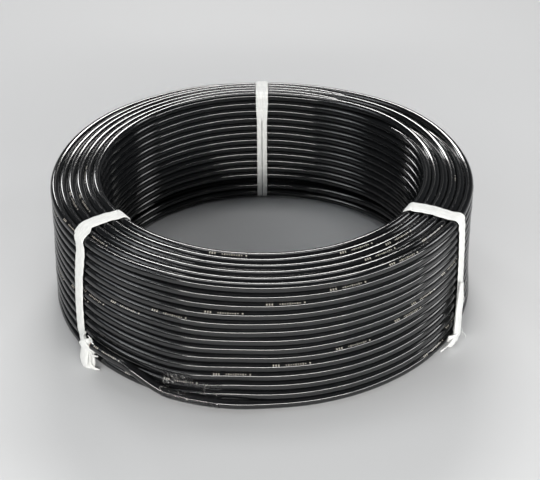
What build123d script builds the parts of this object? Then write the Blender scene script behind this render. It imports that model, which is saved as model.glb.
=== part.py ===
"""Coil of jacketed soft copper tube, lying flat and held by three soft tapes.

Millimetres, +Z up, the floor at z = 0 and the coil's axis on Z. The front of the coil faces -Y.
An azimuth is measured in degrees from the front, towards +X.
"""
import os
from math import cos, pi, radians, sin, sqrt, tan

from build123d import *

os.makedirs("parts", exist_ok=True)

# Tube and winding
tube_diameter = 9.5
row_pitch = 10.0
layer_pitch = 9.5
rows = 14
layers = 6
coil_diameter = 450.0

# Tying tapes
tape_thickness = 1.2
tape_clearance = 0.3
tape_width = 12.5
left_azimuth = -53.0
right_azimuth = 61.5
back_azimuth = 180.0
back_tape_width = 12.5
strand_gap = 1.6
strand_gap_end = 8.0

# Knots and their tails, each knot a little beside its tape
left_knot_azimuth = -49.5
right_knot_azimuth = 59.5
left_knot_height = 26.0
left_knot_foot = 8.0
left_knot_depth = 9.0
left_knot_width = 18.5
left_lobe_reach = 15.0
left_lobe_height = 6.4
left_lobe_rounding = 2.4
right_knot_height = 13.0
right_knot_depth = 11.0
right_knot_width = 13.5
right_tail_length = 26.0
right_tail_width = 6.0
right_tail_thickness = 3.2
knot_rounding = 3.5

# Free end of the tube, laid over the outermost turns
end_tip_azimuth = -46.0
end_drop_azimuth = -37.0
end_groove_azimuth = -22.0
end_sink_azimuth = -10.0
end_root_azimuth = 4.0
end_tip_height = 29.0
end_clearance = 0.3
end_steps = 10
bend_share = 0.45
jacket_thickness = 0.75
copper_wall = 0.8
copper_length = 12.0
copper_stickout = 1.0
copper_clearance = 0.05

# Clear tape round the lowest turns
wrap_start_azimuth = -25.0
wrap_stop_azimuth = -10.0
wrap_thickness = 0.4
wrap_clearance = 0.4
wrap_hem = 9.0

tube_radius = tube_diameter / 2
outer_radius = coil_diameter / 2
radial_depth = tube_diameter + (layers - 1) * layer_pitch
inner_radius = outer_radius - radial_depth
coil_foot = tape_thickness + tape_clearance
coil_height = tube_diameter + (rows - 1) * row_pitch
coil_top = coil_foot + coil_height
first_layer_radius = inner_radius + tube_radius
last_layer_radius = outer_radius - tube_radius
first_row_height = coil_foot + tube_radius
last_row_height = coil_top - tube_radius
layer_radii = [first_layer_radius + layer_pitch * layer for layer in range(layers)]
row_heights = [first_row_height + row_pitch * row for row in range(rows)]


def radial_direction(azimuth):
    """Unit vector from the coil's axis towards an azimuth, in degrees from the front."""
    return Vector(sin(radians(azimuth)), -cos(radians(azimuth)), 0)


def radial_plane(azimuth):
    """Upright plane through the coil's axis: its x runs outwards, its y upwards."""
    outwards = radial_direction(azimuth)
    return Plane(origin=(0, 0, 0), x_dir=outwards, z_dir=outwards.cross(Vector(0, 0, 1)))


# Free end: it leaves the lowest outer turn, lies in the groove above it, then slants up over the next turns
end_side_radius = outer_radius + end_clearance + tube_radius
groove_depth = tube_diameter - sqrt(tube_diameter**2 - (row_pitch / 2) ** 2)
groove_height = first_row_height + row_pitch / 2
end_azimuth_step = (end_root_azimuth - end_tip_azimuth) / end_steps
copper_diameter = tube_diameter - 2 * jacket_thickness


def ease(azimuth, start, stop):
    """Share of a smooth step that is done at an azimuth, from 0 at its start to 1 at its stop."""
    progress = min(1, max(0, (azimuth - start) / (stop - start)))
    return (1 - cos(pi * progress)) / 2


def end_radius(azimuth):
    """Distance of the free end's middle line from the coil's axis."""
    dropped = ease(azimuth, end_drop_azimuth, end_groove_azimuth)
    sunk = ease(azimuth, end_sink_azimuth, end_root_azimuth)
    side = end_side_radius - groove_depth * dropped
    return side + (last_layer_radius - side) * sunk


def end_height(azimuth):
    """Height of the free end's middle line: level at the tip, down to the groove, down into its row."""
    dropped = ease(azimuth, end_drop_azimuth, end_groove_azimuth)
    sunk = ease(azimuth, end_sink_azimuth, end_root_azimuth)
    return end_tip_height + (groove_height - end_tip_height) * dropped + (first_row_height - groove_height) * sunk


def end_point(azimuth):
    """Point of the free end's middle line at an azimuth."""
    return radial_direction(azimuth) * end_radius(azimuth) + Vector(0, 0, end_height(azimuth))


end_points = [end_point(end_tip_azimuth + end_azimuth_step * step) for step in range(end_steps + 1)]
end_bends = []
for before, corner, after in zip(end_points, end_points[1:], end_points[2:]):
    turn = (corner - before).get_angle(after - corner)
    shorter_run = min((corner - before).length, (after - corner).length)
    end_bends.append(bend_share * shorter_run / tan(radians(turn) / 2))
tip_direction = (end_points[0] - end_points[1]).normalized()
tip_plane = Plane(origin=end_points[0], z_dir=tip_direction)
end_path_start = Plane(origin=end_points[0], z_dir=-tip_direction)

# Coil: one turned solid whose outer turns show on every side, with its free end
rim_sites = [(radius, height) for radius in layer_radii for height in (row_heights[0], row_heights[-1])]
rim_sites += [(radius, height) for radius in (layer_radii[0], layer_radii[-1]) for height in row_heights[1:-1]]
core_middle = ((first_layer_radius + last_layer_radius) / 2, (first_row_height + last_row_height) / 2)

with BuildPart() as tube_coil:
    with BuildSketch(Plane.XZ) as winding_section:
        with Locations(core_middle):
            Rectangle(last_layer_radius - first_layer_radius, last_row_height - first_row_height)
        with Locations(*rim_sites):
            Circle(tube_radius)
    revolve(axis=Axis.Z, revolution_arc=360)
    with BuildLine() as end_path:
        FilletPolyline(*end_points, radius=end_bends)
    with BuildSketch(end_path_start):
        Circle(tube_radius)
    sweep(path=end_path.line)
    with BuildSketch(tip_plane):
        Circle(copper_diameter / 2 + copper_clearance)
    extrude(amount=-copper_length, mode=Mode.SUBTRACT)
tube_coil.part.label = "tube_coil"
export_step(tube_coil.part, "parts/tube_coil.step")

# Copper of the cut tip: a short tube seated in the jacket's end
with BuildPart() as copper_tip:
    with BuildSketch(tip_plane.offset(-copper_length)):
        Circle(copper_diameter / 2)
        Circle(copper_diameter / 2 - copper_wall, mode=Mode.SUBTRACT)
    extrude(amount=copper_length + copper_stickout)
copper_tip.part.label = "copper_tip"
export_step(copper_tip.part, "parts/copper_tip.step")

# Tapes: each a closed flat band round the coil's section
band_inner_x = inner_radius - tape_clearance - tape_thickness
band_outer_x = outer_radius + tape_clearance + tape_thickness
band_top = coil_top + tape_clearance + tape_thickness
band_corner = tube_radius + tape_clearance + tape_thickness


def draw_band():
    """Section of a band: a rounded frame round the winding, in a radial plane."""
    with Locations(((band_inner_x + band_outer_x) / 2, band_top / 2)):
        RectangleRounded(band_outer_x - band_inner_x, band_top, band_corner)
        RectangleRounded(
            band_outer_x - band_inner_x - 2 * tape_thickness,
            band_top - 2 * tape_thickness,
            band_corner - tape_thickness,
            mode=Mode.SUBTRACT,
        )


# Left tape, with its knot low on the outer wall and a lobe that reaches the floor
left_knot_x = band_outer_x - tape_thickness / 2
with BuildPart() as tie_left:
    with BuildSketch(radial_plane(left_azimuth)):
        draw_band()
    extrude(amount=tape_width / 2, both=True)
    with BuildSketch(radial_plane(left_knot_azimuth)):
        with Locations((left_knot_x + left_knot_depth / 2, left_knot_foot + left_knot_height / 2)):
            RectangleRounded(left_knot_depth, left_knot_height, knot_rounding)
        with Locations((left_knot_x + left_lobe_reach / 2, left_lobe_height / 2)):
            RectangleRounded(left_lobe_reach, left_lobe_height, left_lobe_rounding)
        with Locations((left_knot_x + left_knot_depth / 2, left_knot_foot)):
            Rectangle(left_knot_depth - knot_rounding, left_knot_foot)
    extrude(amount=left_knot_width / 2, both=True)
tie_left.part.label = "tie_left"
export_step(tie_left.part, "parts/tie_left.step")

# Right tape, with its knot at the coil's foot and a tail along the floor towards the front
right_knot_x = band_outer_x - tape_thickness / 2
with BuildPart() as tie_right:
    with BuildSketch(radial_plane(right_azimuth)):
        draw_band()
    extrude(amount=tape_width / 2, both=True)
    with BuildSketch(radial_plane(right_knot_azimuth)):
        with Locations((right_knot_x + right_knot_depth / 2, right_knot_height / 2)):
            RectangleRounded(right_knot_depth, right_knot_height, knot_rounding)
    extrude(amount=right_knot_width / 2, both=True)
    with BuildSketch(radial_plane(right_knot_azimuth)):
        with Locations((right_knot_x + right_knot_depth / 2, right_tail_thickness / 2)):
            Rectangle(right_tail_width, right_tail_thickness)
    extrude(amount=right_tail_length)
tie_right.part.label = "tie_right"
export_step(tie_right.part, "parts/tie_right.step")

# Back tape: laid double, its two strands side by side down the inner wall
strand_height = coil_height - 2 * strand_gap_end
with BuildPart() as tie_back:
    with BuildSketch(radial_plane(back_azimuth)):
        draw_band()
    extrude(amount=back_tape_width / 2, both=True)
    with BuildSketch(radial_plane(back_azimuth)):
        with Locations((band_inner_x + tape_thickness / 2, (coil_foot + coil_top) / 2)):
            Rectangle(tape_thickness * 2, strand_height)
    extrude(amount=strand_gap / 2, both=True, mode=Mode.SUBTRACT)
tie_back.part.label = "tie_back"
export_step(tie_back.part, "parts/tie_back.step")

# Clear tape: a thin film over the free end and the lowest turns, hemmed under and over them
wrap_inner_radius = end_radius(wrap_start_azimuth) + tube_radius + wrap_clearance
wrap_foot = coil_foot - wrap_clearance
wrap_top = row_heights[1] + tube_radius + wrap_clearance

with BuildPart() as end_wrap:
    with BuildSketch(radial_plane(wrap_start_azimuth)):
        with Locations((wrap_inner_radius + wrap_thickness / 2, (wrap_foot + wrap_top) / 2)):
            Rectangle(wrap_thickness, wrap_top - wrap_foot)
        with Locations((wrap_inner_radius + wrap_thickness - wrap_hem / 2, wrap_foot - wrap_thickness / 2)):
            Rectangle(wrap_hem, wrap_thickness)
        with Locations((wrap_inner_radius + wrap_thickness - wrap_hem / 2, wrap_top + wrap_thickness / 2)):
            Rectangle(wrap_hem, wrap_thickness)
    revolve(axis=Axis.Z, revolution_arc=wrap_stop_azimuth - wrap_start_azimuth)
end_wrap.part.label = "end_wrap"
export_step(end_wrap.part, "parts/end_wrap.step")

print("free end's bend radii", [round(bend, 1) for bend in end_bends])
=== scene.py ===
"""Looks of the coil of jacketed copper tube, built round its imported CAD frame.

Sizes of the coil are written in millimetres and become metres where points are made. The studio's sizes, and
the lengths that a material reads, are in metres. An azimuth is measured in degrees from the front of the
coil, -Y, towards +X. The tube is wound towards falling azimuths.
"""
from __future__ import annotations

import logging
import math
from dataclasses import dataclass, field
from enum import Enum
from typing import Any, Callable, Sequence

import bmesh
import bpy
import numpy as np
from mathutils import Matrix, Vector, noise

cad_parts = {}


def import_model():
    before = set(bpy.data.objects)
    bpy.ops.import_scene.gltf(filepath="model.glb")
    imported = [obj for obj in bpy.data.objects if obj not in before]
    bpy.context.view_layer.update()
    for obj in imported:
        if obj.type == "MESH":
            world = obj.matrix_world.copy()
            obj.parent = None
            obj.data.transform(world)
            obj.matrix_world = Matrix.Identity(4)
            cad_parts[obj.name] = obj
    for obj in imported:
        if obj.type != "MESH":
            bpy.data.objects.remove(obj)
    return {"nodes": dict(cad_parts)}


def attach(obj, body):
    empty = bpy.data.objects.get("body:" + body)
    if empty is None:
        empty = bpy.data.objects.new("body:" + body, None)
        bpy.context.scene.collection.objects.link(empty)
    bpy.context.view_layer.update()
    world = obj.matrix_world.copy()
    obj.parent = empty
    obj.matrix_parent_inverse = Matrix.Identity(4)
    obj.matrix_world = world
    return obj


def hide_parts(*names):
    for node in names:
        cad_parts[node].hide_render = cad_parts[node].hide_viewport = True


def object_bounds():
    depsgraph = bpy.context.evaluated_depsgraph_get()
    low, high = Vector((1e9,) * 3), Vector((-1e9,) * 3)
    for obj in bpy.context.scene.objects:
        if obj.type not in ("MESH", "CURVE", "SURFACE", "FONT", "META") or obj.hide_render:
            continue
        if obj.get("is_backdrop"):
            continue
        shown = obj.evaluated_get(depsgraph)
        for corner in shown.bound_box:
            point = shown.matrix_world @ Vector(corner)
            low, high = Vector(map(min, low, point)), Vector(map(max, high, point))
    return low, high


Mesh = bpy.types.Mesh
Material = bpy.types.Material
Piece = bpy.types.Object
Socket = bpy.types.NodeSocket
Tree = bpy.types.NodeTree
Color = tuple[float, float, float]
Place = tuple[float, float, float]
Pair = tuple[float, float]
Profile = tuple[Pair, ...]
Route = Sequence[Place]

LOG = logging.getLogger("coil")
MM = 0.001
BODY = "root"
CURVE_PARTS = 24
FLOOR_GAP = 0.1
SHARP_ANGLE = math.radians(50)


class Slot(Enum):
    """Names of the material slots."""

    JACKET = "jacket"
    COPPER = "copper"
    TAPE = "tape"
    FILM = "film"


# Small helpers


def ease(value: float, start: float, stop: float) -> float:
    """Share of a smooth step that is done at a value.

    Args:
        value: Where the step is read.
        start: Where it begins.
        stop: Where it is done.

    Returns:
        0 before the start, 1 after the stop.
    """
    progress = min(1.0, max(0.0, (value - start) / (stop - start)))
    return (1 - math.cos(math.pi * progress)) / 2


def polar(azimuth: float, radius: float, height: float) -> Vector:
    """Point at an azimuth in degrees, with its radius and height in millimetres."""
    turn = math.radians(azimuth)
    return Vector((math.sin(turn) * radius, -math.cos(turn) * radius, height))


def outwards(azimuth: float) -> Vector:
    """Level unit vector from the coil's axis towards an azimuth."""
    return polar(azimuth, 1, 0)


def along(azimuth: float) -> Vector:
    """Level unit vector round the coil, towards rising azimuths."""
    return outwards(azimuth + 90)


def smooth_route(points: Sequence[Vector], step: float) -> list[Vector]:
    """Smooth line through points, in even steps.

    Args:
        points: The points that the line passes through, in millimetres.
        step: Distance between two points of the result.

    Returns:
        Points of the line, first and last point included.
    """
    padded = [points[0] * 2 - points[1], *points, points[-1] * 2 - points[-2]]
    fine: list[Vector] = []
    for a, b, c, d in zip(padded, padded[1:], padded[2:], padded[3:]):
        for part in range(CURVE_PARTS):
            t = part / CURVE_PARTS
            straight = 2 * b + (c - a) * t
            bend = (2 * a - 5 * b + 4 * c - d) * t**2
            fine.append(0.5 * (straight + bend + (3 * b - a - 3 * c + d) * t**3))
    fine.append(points[-1].copy())
    spans = np.array([0.0, *np.cumsum([(q - p).length for p, q in zip(fine, fine[1:])])])
    count = max(2, int(round(spans[-1] / step)) + 1)
    places = np.linspace(0, spans[-1], count)
    table = np.array([p[:] for p in fine])
    return [Vector((np.interp(s, spans, table[:, i]) for i in range(3))) for s in places]


def blend_values(values: Sequence[float], share: float) -> float:
    """Value at a share of the way through evenly spread values."""
    return float(np.interp(share * (len(values) - 1), range(len(values)), values))


def hull_of(points: Sequence[Pair]) -> list[Vector]:
    """Corners of the smallest convex outline round flat points, counterclockwise."""
    ordered = sorted(set(points))
    chains: list[list[Pair]] = []
    for source in (ordered, ordered[::-1]):
        chain: list[Pair] = []
        for x, y in source:
            while len(chain) > 1:
                (ax, ay), (bx, by) = chain[-2:]
                if (bx - ax) * (y - ay) - (by - ay) * (x - ax) > 0:
                    break
                chain.pop()
            chain.append((x, y))
        chains.append(chain[:-1])
    return [Vector(point) for point in chains[0] + chains[1]]


def make_object(name: str, data: bpy.types.ID) -> Piece:
    """Object at the origin that holds a mesh, a lamp or a camera."""
    data.name = name
    made = bpy.data.objects.new(name, data)
    bpy.context.scene.collection.objects.link(made)
    return made


def tube_faces(rings: int, sides: int, closed: bool) -> list[tuple[int, ...]]:
    """Faces between rings of points that follow one another.

    Args:
        rings: Number of rings.
        sides: Number of points in each ring.
        closed: Whether the last ring meets the first. If not, both are capped.

    Returns:
        Point numbers of each face.
    """
    faces: list[tuple[int, ...]] = []
    for number in range(rings if closed else rings - 1):
        here, there = number * sides, (number + 1) % rings * sides
        for k in range(sides):
            after = (k + 1) % sides
            faces.append((here + k, here + after, there + after, there + k))
    if not closed:
        faces += [tuple(range(sides)), tuple(range((rings - 1) * sides, rings * sides))]
    return faces


def mesh_from(name: str, points: Sequence[Vector], faces: Sequence[Sequence[int]]) -> Mesh:
    """Smooth mesh of points in millimetres, its faces turned outwards.

    Args:
        name: Name of the mesh.
        points: Points in millimetres.
        faces: Corner numbers of each face.

    Returns:
        The mesh, in metres.
    """
    mesh = bpy.data.meshes.new(name)
    mesh.from_pydata([tuple(p * MM) for p in points], [], faces)
    build = bmesh.new()
    build.from_mesh(mesh)
    bmesh.ops.recalc_face_normals(build, faces=build.faces)
    build.to_mesh(mesh)
    build.free()
    mesh.shade_smooth()
    return mesh


def join_meshes(name: str, meshes: Sequence[Mesh]) -> Mesh:
    """One mesh that holds several closed ones."""
    build = bmesh.new()
    for mesh in meshes:
        build.from_mesh(mesh)
        bpy.data.meshes.remove(mesh)
    joined = bpy.data.meshes.new(name)
    build.to_mesh(joined)
    build.free()
    joined.shade_smooth()
    return joined


class Nodes:
    """Adds and links the nodes of one tree."""

    def __init__(self, tree: Tree) -> None:
        """Starts on an empty tree."""
        self.tree = tree

    def add(self, kind: str, inputs: dict[Any, Any] | None = None, **settings: Any) -> bpy.types.Node:
        """Adds a node.

        Args:
            kind: The node's type name.
            inputs: Values or sockets for its inputs, by name or number.
            **settings: Properties of the node.

        Returns:
            The node.
        """
        node = self.tree.nodes.new(kind)
        for name, value in settings.items():
            setattr(node, name, value)
        for key, value in (inputs or {}).items():
            self.feed(node.inputs[key], value)
        return node

    def feed(self, socket: Socket, value: Any) -> None:
        """Links a socket to an input, or sets the input's value."""
        if isinstance(value, Socket):
            self.tree.links.new(value, socket)
        else:
            socket.default_value = value

    def math(self, operation: str, *values: Any, clamp: bool = False) -> Socket:
        """Result of a Math node."""
        kind = "ShaderNodeMath"
        node = self.add(kind, dict(enumerate(values)), operation=operation, use_clamp=clamp)
        return node.outputs[0]

    def times(self, first: Any, second: Any) -> Socket:
        """Product of two values."""
        return self.math("MULTIPLY", first, second)

    def plus(self, first: Any, second: Any, clamp: bool = False) -> Socket:
        """Sum of two values."""
        return self.math("ADD", first, second, clamp=clamp)

    def vector(self, operation: str, *values: Any) -> Socket:
        """Result of a Vector Math node, where SCALE takes a number second."""
        node = self.add("ShaderNodeVectorMath", operation=operation)
        for number, value in enumerate(values):
            key = "Scale" if operation == "SCALE" and number == 1 else number
            self.feed(node.inputs[key], value)
        return node.outputs["Vector"]

    def split(self, vector: Socket) -> list[Socket]:
        """The three numbers of a vector."""
        return list(self.add("ShaderNodeSeparateXYZ", {0: vector}).outputs)

    def merge(self, x: Any, y: Any, z: Any) -> Socket:
        """Vector of three numbers."""
        return self.add("ShaderNodeCombineXYZ", {0: x, 1: y, 2: z}).outputs[0]

    def noise(self, vector: Any, scale: Any, detail: float = 2.0, roughness: float = 0.5) -> Socket:
        """Value of a noise texture, about 0.5 on average."""
        inputs = {"Vector": vector, "Scale": scale, "Detail": detail, "Roughness": roughness}
        return self.add("ShaderNodeTexNoise", inputs).outputs[0]

    def remap(self, value: Any, low: Any, high: Any, to_low: Any = 0.0, to_high: Any = 1.0) -> Socket:
        """A value taken smoothly from one range to another, kept inside it."""
        inputs = {0: value, 1: low, 2: high, 3: to_low, 4: to_high}
        return self.add("ShaderNodeMapRange", inputs, interpolation_type="SMOOTHSTEP").outputs[0]

    def mix(self, share: Any, first: Any, second: Any) -> Socket:
        """Mix of two colours."""
        node = self.add("ShaderNodeMix", data_type="RGBA")
        self.feed(node.inputs[0], share)
        self.feed(node.inputs[6], first)
        self.feed(node.inputs[7], second)
        return node.outputs[2]

    def place(self) -> Socket:
        """Place on the piece, in metres."""
        return self.add("ShaderNodeTexCoord").outputs["Object"]

    def specks(self, group: Tree, place: Any, size: float, amount: float) -> Socket:
        """Mask of specks from the shared group, of a size in millimetres."""
        inputs = {"Place": place, "Size": size, "Amount": amount}
        return self.add("ShaderNodeGroup", inputs, node_tree=group).outputs["Specks"]

    def bump(self, shader: bpy.types.Node, height: Any, strength: float, distance: float) -> None:
        """Feeds a height to a shader's normal, as a bump of a distance in metres."""
        node = self.add("ShaderNodeBump", {"Strength": strength, "Distance": distance, "Height": height})
        self.feed(shader.inputs["Normal"], node.outputs[0])


# Shared shader groups


def new_group(
    name: str, inputs: dict[str, tuple[str, Any]], outputs: dict[str, str]
) -> tuple[Nodes, Any, bpy.types.Node]:
    """Starts a shader node group.

    Args:
        name: The group's name.
        inputs: Socket type and default value of each input.
        outputs: Socket type of each output.

    Returns:
        The group's nodes, the sockets of its inputs and its output node.
    """
    tree = bpy.data.node_groups.new(name, "ShaderNodeTree")
    for label, (kind, value) in inputs.items():
        tree.interface.new_socket(label, in_out="INPUT", socket_type=kind).default_value = value
    for label, kind in outputs.items():
        tree.interface.new_socket(label, in_out="OUTPUT", socket_type=kind)
    nodes = Nodes(tree)
    return nodes, nodes.add("NodeGroupInput").outputs, nodes.add("NodeGroupOutput")


def speck_group() -> Tree:
    """Group of scattered specks, such as dust or pits, that lie in soft patches."""
    inputs = {
        "Place": ("NodeSocketVector", (0, 0, 0)),
        "Size": ("NodeSocketFloat", 1.0),
        "Amount": ("NodeSocketFloat", 0.3),
    }
    nodes, given, result = new_group("specks", inputs, {"Specks": "NodeSocketFloat"})
    scale = nodes.math("DIVIDE", 1000.0, given["Size"])
    cells = nodes.add("ShaderNodeTexVoronoi", {"Vector": given["Place"], "Scale": scale})
    reach = nodes.times(given["Amount"], 0.5)
    specks = nodes.remap(cells.outputs["Distance"], nodes.times(reach, 0.5), reach, 1.0, 0.0)
    patches = nodes.remap(nodes.noise(given["Place"], nodes.times(scale, 0.03), 4.0), 0.35, 0.7)
    nodes.feed(result.inputs["Specks"], nodes.times(specks, patches))
    return nodes.tree


# Finishes


@dataclass(frozen=True)
class Finish:
    """A material: its name and its plain values, with the nodes added by each kind."""

    name: str
    color: Color
    roughness: float

    def start(self, plain: dict[str, float]) -> tuple[Material, Nodes, bpy.types.Node]:
        """Makes the material with its Principled shader.

        Args:
            plain: Values of further inputs of the shader that are the same all over.

        Returns:
            The material, its nodes and the shader.
        """
        material = bpy.data.materials.new(self.name)
        material.use_nodes = True
        shader = material.node_tree.nodes["Principled BSDF"]
        for name, value in {"Base Color": (*self.color, 1), "Roughness": self.roughness, **plain}.items():
            shader.inputs[name].default_value = value
        return material, Nodes(material.node_tree), shader


@dataclass(frozen=True)
class PrintedMarks:
    """Plain ruler-like marks along the tube: a dot, then ticks, then bars. They spell nothing.

    Lengths along the tube are in metres, and the parts of one mark in millimetres.
    """

    spacing: float = 0.3506
    start: float = 0.1623
    later_from: float = 8.6
    later_spacing: float = 0.3562
    later_start: float = 9.6059
    half_length: float = 0.018
    angle: float = 0.9
    half_height: float = 0.00095
    tube_radius: float = 0.00475
    dot: Pair = (0.0, 1.3)
    ticks: Pair = (4.4, 24.2)
    bars: Pair = (28.6, 36.0)


@dataclass(frozen=True)
class JacketFinish(Finish):
    """Glossy black plastic, with faint lines of its making, light scuffs and dust, and printed marks."""

    marks: PrintedMarks = field(default_factory=PrintedMarks)
    mark_color: Color = (0.42, 0.39, 0.34)
    dust_color: Color = (0.16, 0.15, 0.14)
    scuff_color: Color = (0.2, 0.2, 0.2)
    darkest: float = 0.75
    lightest: float = 1.3

    def mark_mask(self, nodes: Nodes, length: Any, angle: Any) -> Socket:
        """Mask of the printed marks.

        Args:
            nodes: The material's nodes.
            length: Socket of the length along the tube, in metres.
            angle: Socket of the angle round the tube, 0 outwards and a quarter turn upwards.

        Returns:
            Socket that is 1 on a mark.
        """
        marks = self.marks
        later = nodes.math("GREATER_THAN", length, marks.later_from)
        first_start = marks.start - marks.half_length
        start = nodes.math("MULTIPLY_ADD", later, marks.later_start - marks.start, first_start)
        spacing = nodes.math("MULTIPLY_ADD", later, marks.later_spacing - marks.spacing, marks.spacing)
        shifted = nodes.math("FLOORED_MODULO", nodes.math("SUBTRACT", length, start), spacing)
        place = nodes.times(shifted, 1000.0)
        turned = nodes.math("SUBTRACT", angle, marks.angle)
        level = nodes.math("ABSOLUTE", nodes.times(turned, marks.tube_radius / marks.half_height))

        def within(part: Pair) -> Socket:
            """1 along one part of a mark."""
            begun = nodes.math("GREATER_THAN", place, part[0])
            return nodes.times(begun, nodes.math("LESS_THAN", place, part[1]))

        def low(share: float) -> Socket:
            """1 up to a share of the mark's height."""
            return nodes.math("LESS_THAN", level, share)

        def stripes(pitch: float, share: float) -> Socket:
            """1 on stripes across the tube."""
            return nodes.math("LESS_THAN", nodes.math("FLOORED_MODULO", place, pitch), pitch * share)

        bars = nodes.times(nodes.times(low(1.0), within(marks.bars)), stripes(2.4, 0.5))
        low_ticks = nodes.times(stripes(2.2, 0.45), low(0.5))
        high_ticks = nodes.times(stripes(6.6, 0.14), low(0.9))
        ticks = nodes.times(nodes.math("MAXIMUM", low_ticks, high_ticks), within(marks.ticks))
        dot = nodes.times(low(0.7), within(marks.dot))
        return nodes.math("MAXIMUM", nodes.math("MAXIMUM", bars, ticks), dot)

    def make(self, specks: Tree) -> Material:
        """Makes the material from the shared group of specks."""
        material, nodes, shader = self.start({"IOR": 1.5, "Specular IOR Level": 0.7})
        length = nodes.add("ShaderNodeAttribute", attribute_name="along").outputs["Fac"]
        around = nodes.add("ShaderNodeAttribute", attribute_name="around").outputs["Vector"]
        x, y, _ = nodes.split(around)
        angle = nodes.math("ARCTAN2", y, x)

        def drawn(rate: float, scale: float, detail: float, roughness: float) -> Socket:
            """Noise drawn out or pressed together along the tube."""
            return nodes.noise(nodes.merge(x, y, nodes.times(length, rate)), scale, detail, roughness)

        lines = drawn(0.35, 5.0, 2.0, 0.5)
        patches = drawn(9.0, 1.3, 4.0, 0.6)
        scuffs = drawn(45.0, 2.6, 6.0, 0.7)
        scuff = nodes.remap(scuffs, 0.62, 0.78)
        settled = nodes.times(nodes.specks(specks, nodes.place(), 2.2, 0.14), nodes.remap(y, 0.0, 0.9))

        dark, light = ((*(c * share for c in self.color), 1) for share in (self.darkest, self.lightest))
        color = nodes.mix(patches, dark, light)
        color = nodes.mix(nodes.times(settled, 0.08), color, (*self.dust_color, 1))
        color = nodes.mix(nodes.times(scuff, 0.02), color, (*self.scuff_color, 1))
        rough = nodes.plus(nodes.times(patches, 0.06), self.roughness - 0.03)
        rough = nodes.plus(rough, nodes.times(scuff, 0.02))
        rough = nodes.plus(rough, nodes.times(settled, 0.04), clamp=True)
        worn = nodes.times(self.mark_mask(nodes, length, angle), nodes.remap(scuffs, 0.72, 0.5, 0.35, 1.0))
        nodes.feed(shader.inputs["Base Color"], nodes.mix(worn, color, (*self.mark_color, 1)))
        nodes.feed(shader.inputs["Roughness"], nodes.plus(rough, nodes.times(worn, 0.2)))
        nodes.bump(shader, nodes.plus(nodes.times(lines, 0.3), nodes.times(patches, 0.8)), 0.1, 0.00006)
        return material


@dataclass(frozen=True)
class CopperFinish(Finish):
    """Cut copper: bright saw marks over a browned surface."""

    brown: Color = (0.33, 0.15, 0.085)

    def make(self, specks: Tree) -> Material:
        """Makes the material from the shared group of specks."""
        material, nodes, shader = self.start({"Metallic": 1.0})
        place = nodes.place()
        clouds = nodes.noise(place, 420.0, 4.0, 0.6)
        marks = nodes.noise(nodes.vector("MULTIPLY", place, (9000.0, 900.0, 500.0)), 1.0)
        spots = nodes.specks(specks, place, 0.8, 0.8)
        tarnish = nodes.math("MAXIMUM", nodes.remap(clouds, 0.4, 0.62), spots)
        color = nodes.mix(nodes.times(tarnish, 0.75), (*self.color, 1), (*self.brown, 1))
        nodes.feed(shader.inputs["Base Color"], color)
        nodes.feed(shader.inputs["Roughness"], nodes.plus(nodes.times(tarnish, 0.25), self.roughness))
        nodes.bump(shader, marks, 0.35, 0.0001)
        return material


@dataclass(frozen=True)
class ClothFinish(Finish):
    """Soft white tape: a fine plain weave with fuzz, with shade painted grey into its folds and the weave's
    hollows.
    """

    # grey of the painted shade in the folds and weave hollows, and of the specks of dirt
    shade: Color = (0.62, 0.63, 0.62)
    weave_pitch: float = 0.55

    def make(self, specks: Tree) -> Material:
        """Makes the material from the shared group of specks."""
        plain = {"Sheen Weight": 0.35, "Sheen Roughness": 0.5, "Specular IOR Level": 0.25}
        material, nodes, shader = self.start(plain)
        route = nodes.add("ShaderNodeAttribute", attribute_name="run").outputs["Vector"]
        place = nodes.place()
        across, length, _ = nodes.split(route)
        rate = math.tau / self.weave_pitch
        warp, weft = (nodes.math("SINE", nodes.times(value, rate)) for value in (across, length))
        weave = nodes.times(warp, weft)
        fuzz = nodes.noise(place, 2600.0, 3.0, 0.7)
        drawn = nodes.merge(nodes.times(across, 0.35), nodes.times(length, 0.06), 0.0)
        creases = nodes.noise(drawn, 1.6, 4.0, 0.6)
        spots = nodes.specks(specks, place, 1.6, 0.25)
        # painted shade: darker in the low parts of the folds and in the weave's hollows; the specks are dirt
        dirt_and_fold_shade = nodes.plus(nodes.remap(creases, 0.62, 0.35, 0.0, 0.5), nodes.times(spots, 0.25))
        dirt_and_fold_shade = nodes.plus(dirt_and_fold_shade, nodes.times(nodes.remap(weave, -0.2, -1.0), 0.25), clamp=True)
        nodes.feed(shader.inputs["Base Color"], nodes.mix(dirt_and_fold_shade, (*self.color, 1), (*self.shade, 1)))
        height = nodes.plus(nodes.times(weave, 0.35), nodes.times(fuzz, 0.7))
        nodes.bump(shader, nodes.plus(height, nodes.times(creases, 1.4)), 0.7, 0.00022)
        return material


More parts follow.
